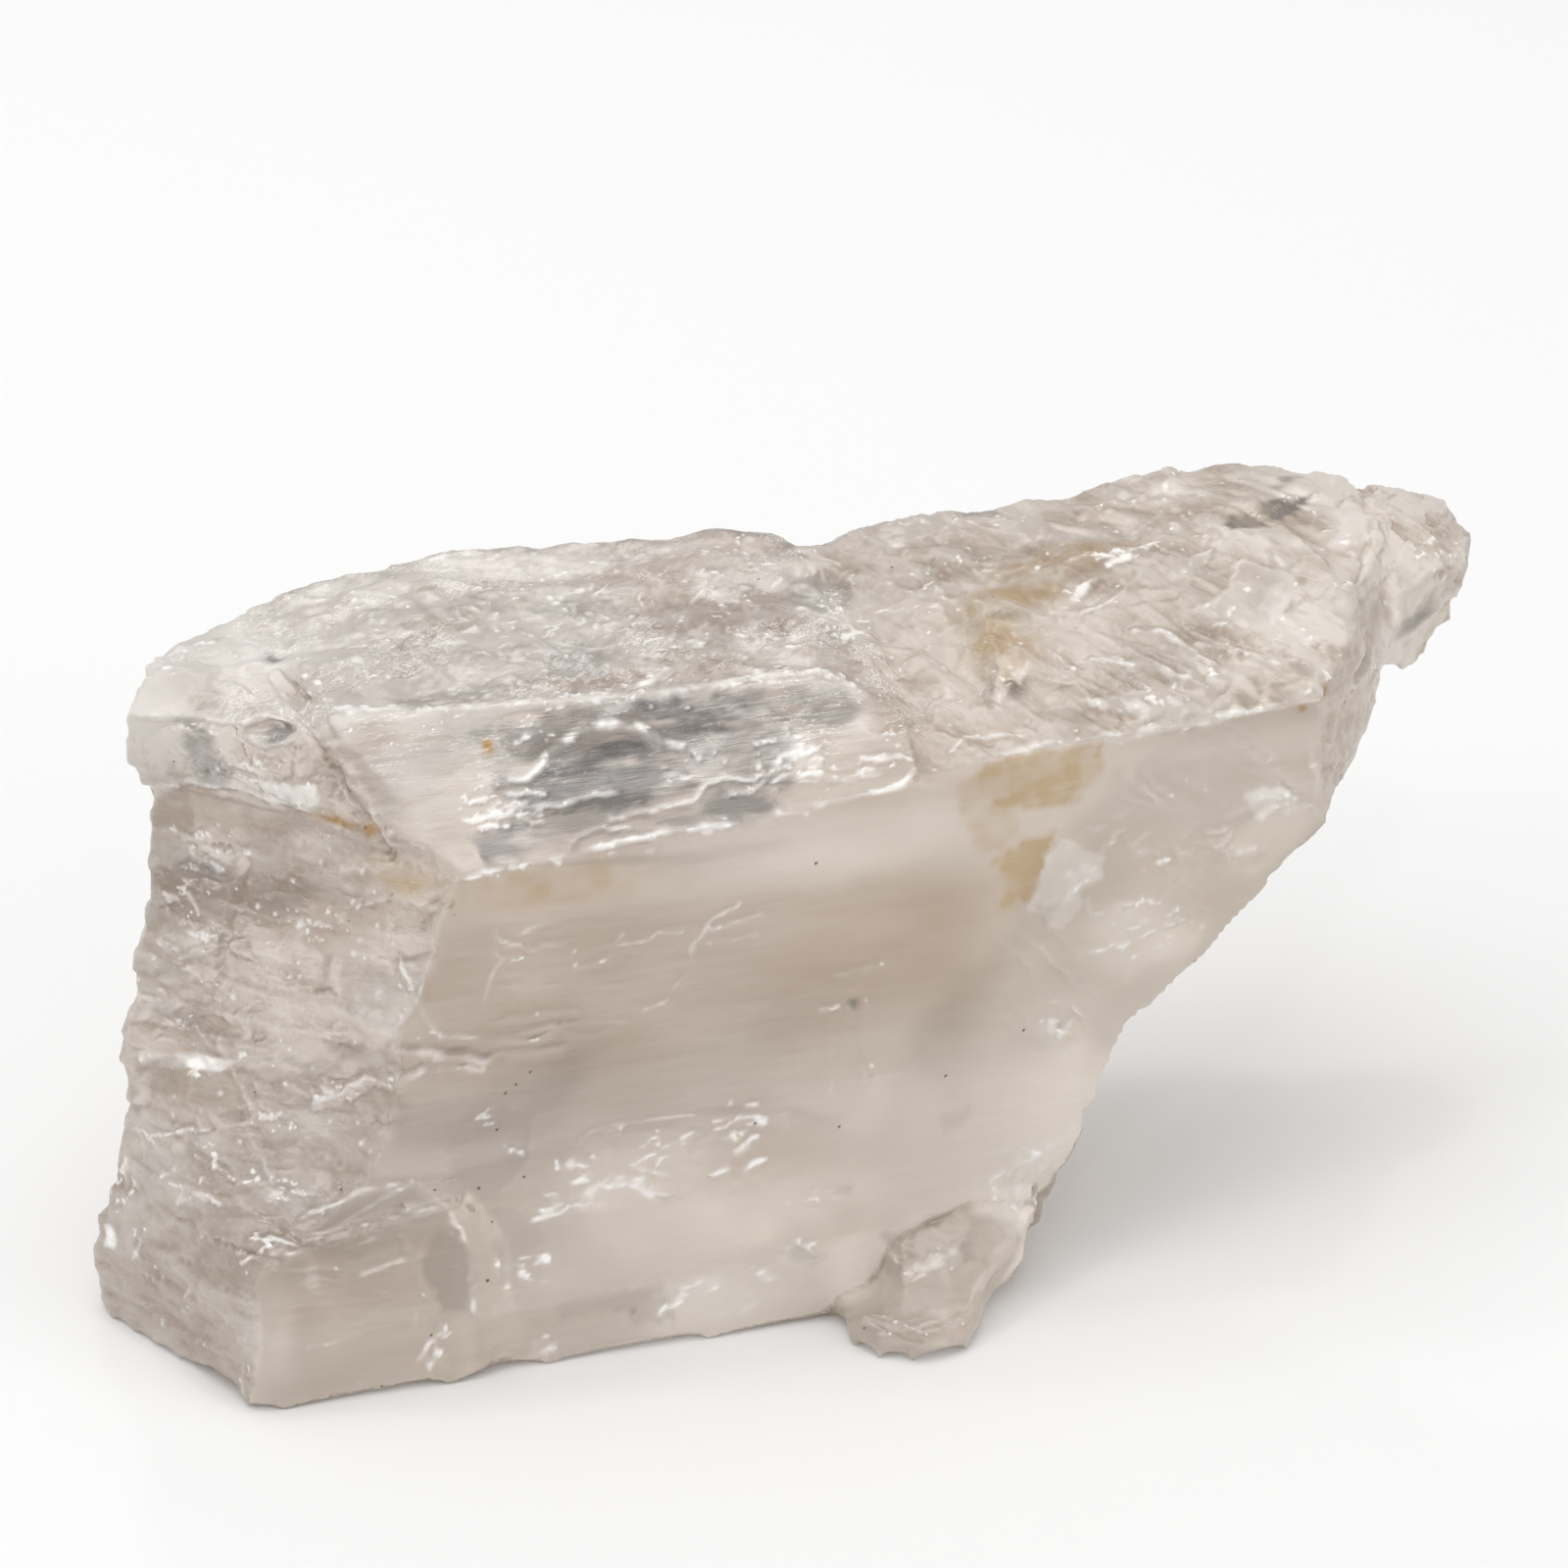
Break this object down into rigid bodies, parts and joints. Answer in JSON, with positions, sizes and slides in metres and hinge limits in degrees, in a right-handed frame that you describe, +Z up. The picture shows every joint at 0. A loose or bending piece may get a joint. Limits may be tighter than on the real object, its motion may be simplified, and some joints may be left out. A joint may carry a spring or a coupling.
{
  "type": "petalite stone",
  "caption": "Raw piece of clear petalite crystal with a smooth cleaved front, a thick slab, an overhanging ridged wing and a flat base it rests on.",
  "frame": {"origin": "centre of the stone's bounding box, at the level of the flat base it rests on", "axes": "+X along the stone from its slab to its wing, +Z up, and the smooth front cleavage faces -Y"},
  "size_m": [0.0534, 0.0252, 0.0235],
  "materials": {
    "petalite": "clear to milky natural crystal, glossy on its cleavages and frosty on its breaks"
  },
  "bodies": {
    "root": {"petalite_stone": "petalite"}
  },
  "joints": []
}
